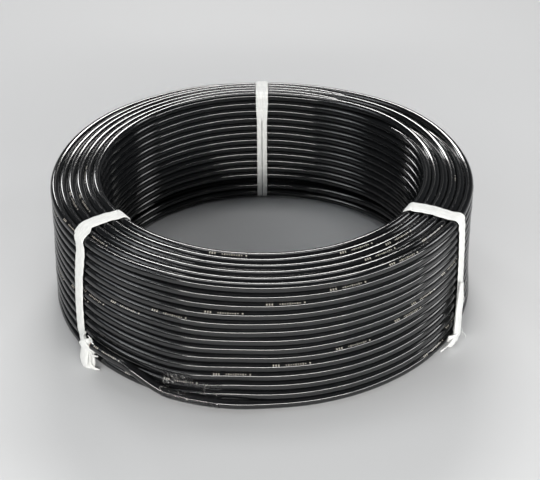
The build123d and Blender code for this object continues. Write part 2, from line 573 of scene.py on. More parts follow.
@dataclass(frozen=True)
class FilmFinish(Finish):
    """Clear adhesive tape: mostly seen through, with sharp glints, and glints painted white and opaque along
    some of its creases.
    """

    clear: float = 0.1
    # opacity and colour of the painted glints along the creases
    painted_glint_alpha: float = 0.8
    painted_glint_color: Color = (0.7, 0.69, 0.66)

    def make(self, specks: Tree) -> Material:
        """Makes the material from the shared group of specks."""
        material, nodes, shader = self.start({"IOR": 1.5, "Specular IOR Level": 1.0})
        place = nodes.place()
        creases = nodes.noise(place, 190.0, 2.5, 0.6)
        lift = nodes.remap(nodes.math("ABSOLUTE", nodes.math("SUBTRACT", creases, 0.5)), 0.012, 0.0)
        bubbles = nodes.math("MAXIMUM", lift, nodes.specks(specks, place, 2.4, 0.5))
        # painted glints: white painted along some creases, and made more opaque there
        white = nodes.times(lift, nodes.remap(nodes.noise(place, 60.0), 0.54, 0.64))
        nodes.feed(shader.inputs["Base Color"], nodes.mix(white, (*self.color, 1), (*self.painted_glint_color, 1)))
        alpha = nodes.plus(nodes.times(white, self.painted_glint_alpha), self.clear, clamp=True)
        nodes.feed(shader.inputs["Alpha"], alpha)
        nodes.feed(shader.inputs["Roughness"], nodes.plus(nodes.times(bubbles, 0.15), self.roughness))
        nodes.bump(shader, creases, 0.4, 0.0004)
        return material


@dataclass(frozen=True)
class FloorFinish(Finish):
    """Plain pale studio floor with a faint grain."""

    grain_share: float = 0.97

    def make(self, specks: Tree) -> Material:
        """Makes the material from the shared group of specks."""
        material, nodes, shader = self.start({"Specular IOR Level": 0.2})
        grain = nodes.specks(specks, nodes.place(), 3.0, 0.5)
        darker = (*(c * self.grain_share for c in self.color), 1)
        nodes.feed(shader.inputs["Base Color"], nodes.mix(nodes.times(grain, 0.6), (*self.color, 1), darker))
        return material


# The winding


@dataclass(frozen=True)
class CoilSizes:
    """Sizes that the CAD model sets, in millimetres and degrees, repeated here."""

    tube: float = 9.5
    row_pitch: float = 10.0
    layer_pitch: float = 9.5
    rows: int = 14
    layers: int = 6
    outer: float = 225.0
    foot: float = 1.5
    tie_azimuths: tuple[float, ...] = (-53.0, 61.5, 180.0)
    end_tip: float = -46.0
    end_drop: float = -37.0
    end_groove: float = -22.0
    end_sink: float = -10.0
    end_root: float = 4.0
    end_height: float = 29.0
    end_clearance: float = 0.3
    end_steps: int = 10
    bore_radius: float = 4.05
    bore_depth: float = 12.0

    @property
    def radius(self) -> float:
        """Radius of the tube."""
        return self.tube / 2

    @property
    def first_layer(self) -> float:
        """Radius of the innermost layer's middle line."""
        return self.outer - self.radius - (self.layers - 1) * self.layer_pitch

    @property
    def last_layer(self) -> float:
        """Radius of the outermost layer's middle line."""
        return self.outer - self.radius

    @property
    def first_row(self) -> float:
        """Height of the lowest row's middle line."""
        return self.foot + self.radius

    @property
    def last_row(self) -> float:
        """Height of the highest row's middle line."""
        return self.first_row + (self.rows - 1) * self.row_pitch

    def end_point(self, azimuth: float) -> Vector:
        """Point of the free end's middle line, as the CAD model has it."""
        side = self.outer + self.end_clearance + self.radius
        groove = self.tube - math.sqrt(self.tube**2 - (self.row_pitch / 2) ** 2)
        groove_height = self.first_row + self.row_pitch / 2
        dropped = ease(azimuth, self.end_drop, self.end_groove)
        sunk = ease(azimuth, self.end_sink, self.end_root)
        radius = side - groove * dropped
        radius += (self.last_layer - radius) * sunk
        height = self.end_height + (groove_height - self.end_height) * dropped
        return polar(azimuth, radius, height + (self.first_row - groove_height) * sunk)

    @property
    def tip(self) -> tuple[Vector, Vector]:
        """The free end's tip and the direction out of it."""
        step = (self.end_root - self.end_tip) / self.end_steps
        first = self.end_point(self.end_tip)
        return first, (first - self.end_point(self.end_tip + step)).normalized()


@dataclass
class Winding:
    """The wound tube, one mesh for each layer, with its free end and the cut face of its inner end.

    An inner layer crosses to its next row in the last zone_share of every turn, which ends at zone_start. The
    outer layer's rows spread in shift_zone, to make room for the free end, and come to their next row in
    drop_zone. Sway and lift move neighbouring turns together, and wander moves each alone, all less at a tie.
    """

    sizes: CoilSizes
    jacket: Material
    copper: Material
    steps: int = 150
    sides: int = 18
    inner_sides: int = 16
    layer_slack: tuple[float, ...] = (1.6, 0.9, 0.1, -0.7, -2.0, -1.9)
    row_nudges: tuple[float, ...] = (0.0, 0.0, 0.7, 1.2, 1.7, 2.1, 2.5, 2.8, 2.9, 2.7, 2.2, 1.5, 0.8, 0.0)
    bore_lean: Pair = (1.2, -1.8)
    wall_lean: float = 6.7
    wall_waist: float = 2.6
    zone_start: float = 80.0
    zone_share: float = 0.25
    bore_gap: float = 5.2
    inner_end_azimuth: float = 40.0
    shift_zone: Pair = (-4.0, 22.0)
    shift_delay: float = 10.0
    drop_zone: Pair = (120.0, 240.0)
    climb: float = 3.2
    tie_hold: float = 0.85
    tie_spread: float = 14.0
    settle: float = 40.0
    end_settle: float = 60.0
    end_gap: float = 0.4
    tip_shares: tuple[float, ...] = (0.0, 0.3, 0.6, 0.85, 1.0)
    sway: float = 1.1
    lift: float = 0.7
    wander: float = 0.22
    seed_step: float = 5.0
    copper_section: Profile = ((4.0, -1.0), (4.0, 1.8), (3.85, 2.0), (3.35, 2.0), (3.2, 1.8), (3.2, -1.0))
    copper_sides: int = 24

    def radius(self, layer: float, height: float) -> float:
        """Radius of a layer's middle line at a height: the walls lean in a little towards the top."""
        sizes = self.sizes
        up = (height - sizes.first_row) / (sizes.last_row - sizes.first_row)
        out = layer / (sizes.layers - 1)
        bore = self.bore_lean[0] + (self.bore_lean[1] - self.bore_lean[0]) * up
        wall = -self.wall_lean * up - self.wall_waist * up * (1 - up)
        return sizes.first_layer + sizes.layer_pitch * layer + bore * (1 - out) + wall * out

    def row_height(self, layer: int, row: int) -> float:
        """Height of a row of one of the inner layers, counted from the lowest."""
        sizes = self.sizes
        rise = (sizes.rows - 1) * sizes.row_pitch + self.layer_slack[layer]
        if layer:
            return sizes.first_row + row * rise / (sizes.rows - 1)
        pitch = (rise - self.bore_gap) / (sizes.rows - 1)
        return sizes.first_row + row * pitch + (self.bore_gap if row > 1 else 0)

    def outer_row(self, row: int, azimuth: float) -> float:
        """Height of a row of the outer layer, counted from the highest.

        Args:
            row: Number of the turn, 0 for the highest.
            azimuth: Unwound azimuth, from zone_start at the turn's start down to a full turn less at its end.

        Returns:
            Height of the middle line.
        """
        sizes = self.sizes
        top = sizes.last_row + self.layer_slack[-1]
        pitch = (top - sizes.first_row) / (sizes.rows - 1)
        left_pitch = (top - sizes.first_row) / (sizes.rows - 2)
        nudge = self.row_nudges[row]
        right = top - pitch * row + nudge
        left = top - left_pitch * row + nudge
        after = top - pitch * (row + 1) + self.row_nudges[min(row + 1, sizes.rows - 1)]
        late = self.shift_delay * row / sizes.rows
        shifted = ease(-azimuth, self.shift_zone[0] + late, self.shift_zone[1] + late / 2)
        lowered = ease(-azimuth, *self.drop_zone)
        return right + (left - right) * shifted + (after - left) * lowered

    def heights_at(self, azimuth: float) -> list[float]:
        """Heights of the outer rows at an azimuth, from the highest down."""
        unwound = azimuth if azimuth <= self.zone_start else azimuth - 360
        rows = [self.outer_row(row, unwound) for row in range(self.sizes.rows)]
        return [height for height in rows if height > self.sizes.first_row - 1]

    def looseness(self, azimuth: float) -> float:
        """How freely the turns wander at an azimuth: 0 under a tie, 1 between ties."""
        free = 1.0
        for tie in self.sizes.tie_azimuths:
            apart = (azimuth - tie + 180) % 360 - 180
            free *= 1 - self.tie_hold * math.exp(-((apart / self.tie_spread) ** 2))
        return free

    def layer_line(self, layer: int) -> tuple[list[Vector], list[float], list[float]]:
        """Middle line of one layer.

        Args:
            layer: Number of the layer, 0 for the innermost.

        Returns:
            Its points in millimetres, and for each how freely it sways with its neighbours and wanders alone.
        """
        sizes = self.sizes
        if layer == sizes.layers - 1:
            return self.outer_line()
        rising = layer % 2 == 0
        order = list(range(sizes.rows)) if rising else list(range(sizes.rows - 1, -1, -1))
        if layer + 1 == sizes.layers - 1:
            next_height = self.outer_row(0, self.zone_start)
        else:
            next_height = self.row_height(layer + 1, order[-1])
        points, sway, free = [], [], []
        total = sizes.rows * self.steps
        first = round((self.zone_start - self.inner_end_azimuth) / 360 * self.steps) if layer == 0 else 0
        for number in range(first, total + 1):
            turn = min(number // self.steps, sizes.rows - 1)
            share = number / self.steps - turn
            azimuth = self.zone_start - 360 * number / self.steps
            moved = ease(share, 1 - self.zone_share, 1.0)
            here = self.row_height(layer, order[turn])
            if turn < sizes.rows - 1:
                height = here + (self.row_height(layer, order[turn + 1]) - here) * moved
                points.append(polar(azimuth, self.radius(layer, height), height))
            else:
                lift = self.climb * math.sin(math.pi * moved) if rising else 0
                height = here + (next_height - here) * moved
                points.append(polar(azimuth, self.radius(layer + moved, height), height + lift))
            near_end = min(number - first, total - number) / self.steps * 360
            sway.append(self.looseness(azimuth))
            free.append(self.looseness(azimuth) * ease(near_end, 0, self.settle))
        return points, sway, free

    def outer_line(self) -> tuple[list[Vector], list[float], list[float]]:
        """Middle line of the outer layer, which goes on into the free end."""
        sizes = self.sizes
        points, sway, free = [], [], []
        step = 360 / self.steps
        stop = (sizes.rows - 1) * 360 + self.zone_start - sizes.end_root
        count = int(stop / step)
        for number in range(count + 1):
            turned = number * step
            turn = int(turned // 360)
            azimuth = self.zone_start - turned
            height = self.outer_row(turn, self.zone_start - (turned - 360 * turn))
            points.append(polar(azimuth, self.radius(sizes.layers - 1, height), height))
            loose = self.looseness(azimuth)
            sway.append(loose * ease(stop - turned, 0, self.end_settle))
            free.append(loose * ease(min(turned, stop - turned), 0, self.settle))
        corner_azimuth = sizes.end_tip + (sizes.end_root - sizes.end_tip) / sizes.end_steps
        azimuth = sizes.end_root - self.end_gap
        while azimuth > corner_azimuth:
            points.append(sizes.end_point(azimuth))
            azimuth -= step / 2
        corner, tip = sizes.end_point(corner_azimuth), sizes.end_point(sizes.end_tip)
        points += [corner.lerp(tip, share) for share in self.tip_shares]
        extra = len(points) - len(sway)
        return points, sway + [0.0] * extra, free + [0.0] * extra

    def sweep_tree(self) -> Tree:
        """Geometry nodes that turn a middle line into a tube with a little wander.

        Returns:
            The tree, with named inputs for the tube's size, its wander and its material.
        """
        tree = bpy.data.node_groups.new("wound tube", "GeometryNodeTree")
        kinds = {"Line": "Geometry", "Sides": "Int", "Material": "Material"}
        for label in ("Line", "Radius", "Sides", "Sway", "Lift", "Wander", "Seed", "Lowest", "Material"):
            kind = "NodeSocket" + kinds.get(label, "Float")
            tree.interface.new_socket(label, in_out="INPUT", socket_type=kind)
        tree.interface.new_socket("Tube", in_out="OUTPUT", socket_type="NodeSocketGeometry")
        nodes = Nodes(tree)
        source = nodes.add("NodeGroupInput").outputs
        result = nodes.add("NodeGroupOutput")

        def read(name: str) -> Socket:
            """Value of a named attribute."""
            return nodes.add("GeometryNodeInputNamedAttribute", {"Name": name}, data_type="FLOAT").outputs[0]

        def centred(vector: Any, scale: float) -> Socket:
            """Noise between about -1 and 1."""
            return nodes.times(nodes.math("SUBTRACT", nodes.noise(vector, scale, 1.0), 0.5), 3.2)

        def store(name: str, shape: Any, value: Any, kind: str) -> Socket:
            """Shape that keeps a value as a named attribute."""
            inputs = {"Name": name, "Geometry": shape, "Value": value}
            return nodes.add("GeometryNodeStoreNamedAttribute", inputs, data_type=kind).outputs[0]

        curve = nodes.add("GeometryNodeMeshToCurve", {0: source["Line"]}).outputs[0]
        length = nodes.add("GeometryNodeSplineParameter").outputs["Length"]
        stored = store("along", curve, length, "FLOAT")
        x, y, z = nodes.split(nodes.add("GeometryNodeInputPosition").outputs[0])
        level = nodes.vector("NORMALIZE", nodes.merge(x, y, 0.0))
        lx, ly, _ = nodes.split(level)
        tall = nodes.times(z, 14.0)
        shared = centred(nodes.merge(lx, ly, tall), 1.5)
        seed = source["Seed"]
        lifted = centred(nodes.merge(nodes.plus(lx, seed), ly, nodes.times(tall, 1.6)), 1.3)
        turn = nodes.times(length, 2.1)
        alone_out = centred(nodes.merge(turn, seed, 3.7), 1.0)
        alone_up = centred(nodes.merge(turn, seed, 11.3), 1.0)
        free, sway = read("free"), read("sway")
        out = nodes.times(nodes.times(shared, source["Sway"]), sway)
        out = nodes.plus(out, nodes.times(nodes.times(alone_out, source["Wander"]), free))
        settled = nodes.remap(z, 0.006, 0.03)
        up = nodes.times(nodes.times(lifted, source["Lift"]), nodes.times(free, settled))
        up = nodes.plus(up, nodes.times(nodes.times(alone_up, source["Wander"]), free))
        up = nodes.math("MAXIMUM", up, nodes.math("SUBTRACT", source["Lowest"], z))
        shift = nodes.vector("ADD", nodes.vector("SCALE", level, out), nodes.merge(0.0, 0.0, up))
        moved = nodes.add("GeometryNodeSetPosition", {"Geometry": stored, "Offset": shift})
        upright = nodes.add("GeometryNodeSetCurveNormal", {0: moved.outputs[0]}, mode="Z_UP")
        section = {"Resolution": source["Sides"], "Radius": source["Radius"]}
        ring = nodes.add("GeometryNodeCurvePrimitiveCircle", section).outputs[0]
        inwards = nodes.vector("NORMALIZE", nodes.add("GeometryNodeInputPosition").outputs[0])
        named = store("around", ring, nodes.vector("SCALE", inwards, -1.0), "FLOAT_VECTOR")
        parts = {"Curve": upright.outputs[0], "Profile Curve": named, "Fill Caps": True}
        swept = nodes.add("GeometryNodeCurveToMesh", parts)
        smooth = nodes.add("GeometryNodeSetShadeSmooth", {0: swept.outputs[0], "Shade Smooth": True})
        real = nodes.add("GeometryNodeRealizeInstances", {0: smooth.outputs[0]})
        dressed = nodes.add("GeometryNodeSetMaterial", {0: real.outputs[0], "Material": source["Material"]})
        nodes.feed(result.inputs[0], dressed.outputs[0])
        return tree

    def sweep(self, tree: Tree, name: str, layer: int) -> Piece:
        """Makes the plain mesh of one layer.

        Args:
            tree: The geometry nodes.
            name: Name of the piece.
            layer: Number of the layer, 0 for the innermost.

        Returns:
            The piece.
        """
        points, sway, free = self.layer_line(layer)
        mesh = bpy.data.meshes.new(name)
        mesh.from_pydata([tuple(p * MM) for p in points], [(i, i + 1) for i in range(len(points) - 1)], [])
        for label, values in (("sway", sway), ("free", free)):
            mesh.attributes.new(label, "FLOAT", "POINT").data.foreach_set("value", values)
        line = make_object(name + "_line", mesh)
        modifier = line.modifiers.new("wound tube", "NODES")
        modifier.node_group = tree
        seen = layer in (0, self.sizes.layers - 1)
        values = {
            "Radius": self.sizes.radius * MM,
            "Sides": self.sides if seen else self.inner_sides,
            "Sway": self.sway * MM,
            "Lift": self.lift * MM,
            "Wander": self.wander * MM,
            "Seed": self.seed_step * layer,
            "Lowest": self.sizes.first_row * MM,
            "Material": self.jacket,
        }
        for socket in tree.interface.items_tree:
            if socket.in_out == "INPUT" and socket.name in values:
                modifier[socket.identifier] = values[socket.name]
        graph = bpy.context.evaluated_depsgraph_get()
        shown = line.evaluated_get(graph)
        solid = bpy.data.meshes.new_from_object(shown, preserve_all_data_layers=True, depsgraph=graph)
        bpy.data.objects.remove(line)
        solid.set_sharp_from_angle(angle=SHARP_ANGLE)
        return make_object(name, solid)

    def build(self) -> None:
        """Builds and dresses every layer, and the copper at the inner end."""
        tree = self.sweep_tree()
        layers = range(self.sizes.layers)
        pieces = [self.sweep(tree, f"winding_layer_{layer + 1}", layer) for layer in layers]
        self.open_tip(pieces[-1])
        pieces.append(self.inner_copper())
        for piece in pieces:
            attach(piece, BODY)
            LOG.info("%s: %d faces", piece.name, len(piece.data.polygons))
        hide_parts("tube_coil")

    def open_tip(self, piece: Piece) -> None:
        """Sinks a bore into the free end's cut face, so that the copper shows inside the jacket."""
        tip, direction = self.sizes.tip
        build = bmesh.new()
        build.from_mesh(piece.data)
        caps = [cap for cap in build.faces if len(cap.verts) > 4]
        face = min(caps, key=lambda cap: (cap.calc_center_median() - tip * MM).length)
        wall = (self.sizes.radius - self.sizes.bore_radius) * MM
        bmesh.ops.inset_region(build, faces=[face], thickness=wall)
        rim = list(face.verts)
        ring = [build.verts.new(v.co - direction * self.sizes.bore_depth * MM) for v in rim]
        bmesh.ops.delete(build, geom=[face], context="FACES_ONLY")
        for number in range(len(rim)):
            after = (number + 1) % len(rim)
            build.faces.new((rim[number], rim[after], ring[after], ring[number]))
        build.faces.new(ring)
        bmesh.ops.recalc_face_normals(build, faces=build.faces)
        build.to_mesh(piece.data)
        build.free()
        piece.data.set_sharp_from_angle(angle=SHARP_ANGLE)

    def inner_copper(self) -> Piece:
        """Short copper tube that stands out of the inner end's cut face."""
        points, _, _ = self.layer_line(0)
        direction = (points[0] - points[1]).normalized()
        side = Vector((0, 0, 1)).cross(direction).normalized()
        up = direction.cross(side)
        verts = []
        for radius, reach in self.copper_section:
            for number in range(self.copper_sides):
                turn = math.tau * number / self.copper_sides
                across = side * math.cos(turn) + up * math.sin(turn)
                verts.append(points[0] + direction * reach + across * radius)
        faces = tube_faces(len(self.copper_section), self.copper_sides, closed=True)
        mesh = mesh_from("inner_copper", verts, faces)
        mesh.set_sharp_from_angle(angle=SHARP_ANGLE)
        mesh.materials.append(self.copper)
        return make_object("inner_copper", mesh)


# The ties


@dataclass
class Band:
    """A flat band of tape that follows a line, with a soft rounded section and folds along it."""

    width: float
    thickness: float
    across: int = 9
    thinning: float = 0.45
    edge: float = 1.06
    seam: float = 0.015

    def mesh(
        self,
        name: str,
        line: Sequence[Vector],
        sides: Sequence[Vector],
        widths: Callable[[float], float],
        fold: Callable[[float, float], float],
        closed: bool = False,
    ) -> Mesh:
        """Makes the band's mesh.

        Args:
            name: Name of the mesh.
            line: Middle line, in millimetres.
            sides: Unit vector across the band at each point of the line.
            widths: Share of the full width at a share of the length.
            fold: Height of the folds, in millimetres, at a place across from -1 to 1 and a length.
            closed: Whether the end meets the start.

        Returns:
            A closed mesh, with the place on the tape kept in the attribute ``run``.
        """
        count = len(line)
        section = [(-1 + 2 * k / (self.across - 1), 1.0) for k in range(self.across)]
        section += [(self.edge, 0.0)] + [(a, -1.0) for a, _ in reversed(section)] + [(-self.edge, 0.0)]
        verts, run = [], []
        length = 0.0
        for number, centre in enumerate(line):
            before = line[number - 1] if number or closed else centre
            after = line[(number + 1) % count] if closed or number < count - 1 else centre
            tangent = (after - before).normalized()
            side = (sides[number] - tangent * sides[number].dot(tangent)).normalized()
            normal = tangent.cross(side)
            share = number / (count if closed else count - 1)
            half = self.width / 2 * widths(share)
            if number:
                length += (centre - line[number - 1]).length
            for a, b in section:
                thick = self.thickness / 2 * (1 - self.thinning * abs(a) ** 3)
                crease = fold(a, length)
                crease *= ease(min(share, 1 - share), 0.0, self.seam) if closed else 1.0
                point = centre + side * (a * half) + normal * (b * thick + crease)
                verts.append(Vector((point.x, point.y, max(point.z, FLOOR_GAP))))
                run.append((a * half, length, b))
        mesh = mesh_from(name, verts, tube_faces(count, len(section), closed))
        mesh.attributes.new("run", "FLOAT_VECTOR", "POINT").data.foreach_set("vector", np.array(run).ravel())
        return mesh


@dataclass
class Tie:
    """A tape tied round the coil's section, at one azimuth.

    Each pair of slant is a height on the outer wall with an offset round the coil, each pair of top_slant a
    radius over the top with an offset, and each pair of wall_widths a height with a share of the width.
    """

    winding: Winding
    azimuth: float
    name: str
    cloth: Material
    node: str
    width: float = 12.5
    thickness: float = 1.5
    gap: float = 0.2
    dip: float = 0.25
    strands: int = 1
    slant: Profile = ((0.0, 0.0), (140.0, 0.0))
    top_slant: Profile = ((165.0, 0.0), (215.0, 0.0))
    wall_widths: Profile = ((0.0, 1.0), (140.0, 1.0))
    knot_azimuth: float = 0.0
    soft_fold: float = 0.15
    fine_fold: float = 0.07
    uneven: float = 0.04
    loop_step: float = 1.6
    shortest: float = 0.3
    strand_step: float = 0.9
    upper_wall: Pair = (70.0, 128.0)
    rim: Pair = (205.0, 217.0)
    width_rim: Pair = (205.0, 219.0)

    @staticmethod
    def frame_point(azimuth: float, offset: float, radius: float, height: float) -> Vector:
        """Point near an azimuth: offset round the coil, radius and height, in millimetres."""
        return outwards(azimuth) * radius + along(azimuth) * offset + Vector((0, 0, height))

    def loop_line(self) -> list[Pair]:
        """Line of the loop in the radial plane.

        Returns:
            Radius and height of each point, up the outer wall, in over the top, down the bore and out below.
        """
        winding, sizes = self.winding, self.winding.sizes
        last = sizes.layers - 1
        reach = sizes.radius + self.gap + self.thickness / 2
        walls = [(winding.radius(last, z), z) for z in winding.heights_at(self.azimuth)[::-1]]
        tops = [winding.row_height(layer, sizes.rows - 1) for layer in range(1, last)]
        roof = [(winding.radius(k + 1, z), z) for k, z in enumerate(tops)][::-1]
        bore = [winding.row_height(0, row) for row in range(sizes.rows - 1, -1, -1)]
        inner = [(winding.radius(0, z), z) for z in bore]
        below = [(winding.radius(k, sizes.first_row), sizes.first_row) for k in range(1, last)]
        tubes = hull_of(walls + roof + inner + below)
        line: list[Pair] = []
        for number, here in enumerate(tubes):
            before, after = tubes[number - 1], tubes[(number + 1) % len(tubes)]
            enter, leave = self.side_of(before, here), self.side_of(here, after)
            arcs = max(1, round(enter.angle(leave) * reach / self.loop_step))
            line += [tuple(here + enter.lerp(leave, k / arcs).normalized() * reach) for k in range(arcs + 1)]
            run = (after - here).length
            parts = max(2, round(run / self.loop_step))
            dips = max(1, round(run / sizes.row_pitch))
            for k in range(1, parts):
                sag = self.dip * math.sin(math.pi * dips * k / parts) ** 2
                line.append(tuple(here.lerp(after, k / parts) + leave * (reach - sag)))
        lowest = self.thickness / 2 + 0.05
        line = [(radius, max(height, lowest)) for radius, height in line]
        following = line[1:] + line[:1]
        return [point for point, other in zip(line, following) if math.dist(point, other) > self.shortest]

    @staticmethod
    def side_of(start: Vector, stop: Vector) -> Vector:
        """Unit vector square to a run between two tubes, outwards."""
        run = (stop - start).normalized()
        return Vector((run.y, -run.x))

    def fold(self, across: float, length: float) -> float:
        """Height of the soft folds that run along the tape."""
        place = Vector((across * 1.1 + self.azimuth, length * 0.035, self.azimuth * 0.1))
        fine = Vector((across * 2.6 + self.azimuth, length * 0.16, 3.0))
        return self.soft_fold * noise.noise(place * 1.7) + self.fine_fold * noise.noise(fine)

    def width_share(self, share: float) -> float:
        """Share of the full width round the loop."""
        turn = math.tau * share
        place = Vector((4 * math.cos(turn), 4 * math.sin(turn), self.azimuth))
        return 1.0 + self.uneven * noise.noise(place)

    def slanted(self, radius: float, height: float) -> float:
        """Offset of the loop round the coil, where it doesn't lie square to the turns."""
        outer = float(np.interp(height, *zip(*self.slant)))
        top = float(np.interp(radius, *zip(*self.top_slant)))
        over = ease(height, *self.upper_wall)
        across = ease(radius, *self.rim)
        inner = self.top_slant[0][1] * over
        return outer * across + (top * over + inner * (1 - over)) * (1 - across)

    def strand_widths(self, radius: float, height: float) -> float:
        """Share of the full width at a place of the loop."""
        share = float(np.interp(height, *zip(*self.wall_widths)))
        return 1 + (share - 1) * ease(radius, *self.width_rim)

    def loops(self) -> list[Mesh]:
        """The loop, once round the coil's section, in one or more strands side by side."""
        line = self.loop_line()
        meshes = []
        for strand in range(self.strands):
            place = (strand - (self.strands - 1) / 2) * self.width / self.strands
            points = [self.frame_point(self.azimuth, place + self.slanted(r, z), r, z) for r, z in line]
            shares = [self.strand_widths(r, z) for r, z in line]
            band = Band(self.width / self.strands, self.thickness)

            def widths(share: float, shares: Sequence[float] = shares) -> float:
                """Share of the width at a share of the loop's length."""
                return shares[round(share * len(shares)) % len(shares)] * self.width_share(share)

            sides = [along(self.azimuth)] * len(line)
            meshes.append(band.mesh(self.name, points, sides, widths, self.fold, closed=True))
        return meshes

    def extras(self) -> list[Mesh]:
        """Knots and tails, none on a plain tie."""
        return []

    def strand(
        self,
        route: Route,
        width: float,
        thickness: float = 1.0,
        twist: Pair = (0.0, 0.0),
        shares: Sequence[float] = (0.75, 1.0, 1.0, 0.75),
    ) -> Mesh:
        """A short soft band along a route near the tie.

        Args:
            route: Offset round the coil, radius and height of each point, in millimetres.
            width: Full width.
            thickness: Thickness in the middle.
            twist: Roll about the line at the start and the end, in degrees.
            shares: Shares of the full width, evenly spread along the band.

        Returns:
            A closed mesh.
        """
        corners = [self.frame_point(self.knot_azimuth, *point) for point in route]
        line = smooth_route(corners, self.strand_step)
        sides = []
        for number, centre in enumerate(line):
            before, after = line[max(number - 1, 0)], line[min(number + 1, len(line) - 1)]
            tangent = (after - before).normalized()
            base = tangent.cross(outwards(self.knot_azimuth))
            if base.length < 0.2:
                base = tangent.cross(Vector((0, 0, 1)))
            roll = math.radians(twist[0] + (twist[1] - twist[0]) * number / (len(line) - 1))
            sides.append(Matrix.Rotation(roll, 3, tangent) @ base.normalized())
        band = Band(width, thickness, across=7)
        return band.mesh("strand", line, sides, lambda share: blend_values(shares, share), self.fold)

    def build(self) -> None:
        """Builds and dresses the tie, which stands for its CAD node."""
        mesh = join_meshes(self.name, [*self.loops(), *self.extras()])
        mesh.materials.append(self.cloth)
        piece = make_object(self.name, mesh)
        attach(piece, BODY)
        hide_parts(self.node)
        LOG.info("%s: %d faces", piece.name, len(mesh.polygons))


@dataclass
class LeftTie(Tie):
    """The tie at the left: its knot sits low on the wall, with a big lobe that reaches the floor."""

    width: float = 14.5
    slant: Profile = ((0, 9), (12, 4), (28, -2), (60, -3), (95, 0), (125, 6), (140, 3))
    top_slant: Profile = ((166, 1), (184, -5), (200, -7), (207, -6))
    wall_widths: Profile = ((0.0, 0.9), (30.0, 0.95), (90.0, 0.95), (140.0, 1.05))
    knot_azimuth: float = -48.4

    def extras(self) -> list[Mesh]:
        """Knot, lobe, thin loops and tails, in offsets, radii and heights near the tie."""
        wrap_down: Route = ((-7.5, 227, 33), (-5, 231.5, 31), (1, 234, 27), (6, 232, 22), (7, 228, 18))
        wrap_up: Route = ((6, 227.5, 31), (3, 232.5, 29), (-3, 234.5, 24), (-7, 231, 19), (-8, 227.5, 15))
        lobe: Route = (
            *((0, 229.5, 27), (0, 233.5, 20), (0.5, 236, 11), (2, 236.5, 4)),
            *((4.5, 234, 2), (6, 230.5, 4), (5, 229.5, 12), (3, 229.5, 20)),
        )
        under: Route = ((3, 229, 24), (3, 232, 15), (4, 233.5, 7), (3.5, 234, 3))
        loop_a: Route = ((2, 228, 33), (5, 231, 38), (9, 231.5, 37.5), (9.5, 230, 33), (6, 229, 28))
        loop_b: Route = ((3, 229, 31), (8, 231.5, 34), (13, 231.5, 33), (12, 229.5, 29), (7, 229, 25))
        tail_a: Route = ((4, 231, 20), (8, 232, 17.5), (12, 231, 17.5), (16, 229.5, 18.5))
        tail_b: Route = ((3, 232, 9), (7, 233.5, 4.5), (12, 232, 2.2), (17, 229.5, 2.4))
        return [
            self.strand(wrap_down, 9.5, 2.6, (10, -10)),
            self.strand(wrap_up, 9.5, 2.6, (-15, 10)),
            self.strand(lobe, 11.5, 2.8, (0, 0), (0.8, 1.05, 1.1, 0.65, 0.6, 0.8)),
            self.strand(under, 7.0, 3.0, (20, -20), (0.8, 1.0, 0.8, 0.4)),
            self.strand(loop_a, 2.2, 1.0, (0, 60), (1.0, 1.0, 0.8, 1.0)),
            self.strand(loop_b, 2.0, 0.9, (30, -30), (1.0, 0.8, 1.0, 1.0)),
            self.strand(tail_a, 4.5, 1.2, (0, 30), (1.0, 0.9, 0.6, 0.1)),
            self.strand(tail_b, 4.5, 1.2, (0, -30), (1.0, 0.9, 0.6, 0.15)),
        ]


@dataclass
class RightTie(Tie):
    """The tie at the right: doubled low on the wall, knotted at the floor, with a tail and stray threads."""

    width: float = 15.0
    slant: Profile = ((0, -4), (14, 1), (30, 4), (60, 6), (100, 5), (125, 3), (140, -2))
    top_slant: Profile = ((168, -12), (178, -8), (190, -5), (206, -4))
    knot_azimuth: float = 59.5

    def extras(self) -> list[Mesh]:
        """Second layer, knot, tail and stray threads."""
        doubled: Route = (
            *((7, 226.5, 66), (2, 228.5, 57), (-2, 230, 44)),
            *((-3, 230.5, 28), (-3.5, 231, 14), (-4, 231.5, 6)),
        )
        wrap_down: Route = ((-20, 227.5, 13), (-16, 231, 12), (-10, 232.5, 10), (-3, 231.5, 7), (0, 228, 5))
        wrap_up: Route = ((-3, 228, 16), (-7, 231.5, 14), (-13, 232.5, 9), (-18, 230, 5), (-19, 228, 4))
        tail: Route = ((-13, 231, 10), (-20, 230, 9.5), (-28, 228.5, 8.5), (-36, 227, 8))
        thread_a: Route = ((4, 228, 54), (8.5, 229.5, 49), (9.5, 230, 43), (6, 229, 38), (5, 228, 36))
        thread_b: Route = ((5, 232, 8), (8, 235, 4), (8.5, 236.5, 1.5), (6, 237.5, 0.8))
        thread_c: Route = ((6, 229, 12), (10, 231, 8), (10.5, 232, 3), (9, 233, 1))
        return [
            self.strand(doubled, 16.0, 2.6, (0, 0), (0.5, 0.85, 1.0, 0.95, 1.05, 1.0)),
            self.strand(wrap_down, 9.0, 2.6, (10, -10)),
            self.strand(wrap_up, 9.0, 2.6, (-15, 10)),
            self.strand(tail, 9.0, 1.8, (-20, -60), (1.0, 0.95, 0.6, 0.12)),
            self.strand(thread_a, 0.45, 0.4),
            self.strand(thread_b, 0.45, 0.4),
            self.strand(thread_c, 0.4, 0.35),
        ]


@dataclass
class BackTie(Tie):
    """The tie at the back, in two strands that lie together over the rim and part down the bore."""

    strands: int = 2
    overlap: float = 1.2
    parting: float = 0.36
    part_heights: Pair = (134.0, 100.0)
    part_radii: Pair = (190.0, 172.0)

    def strand_widths(self, radius: float, height: float) -> float:
        """Share of each strand's width: they overlap over the rim and part down the bore."""
        down = ease(height, *self.part_heights) * ease(radius, *self.part_radii)
        return self.overlap - self.parting * down


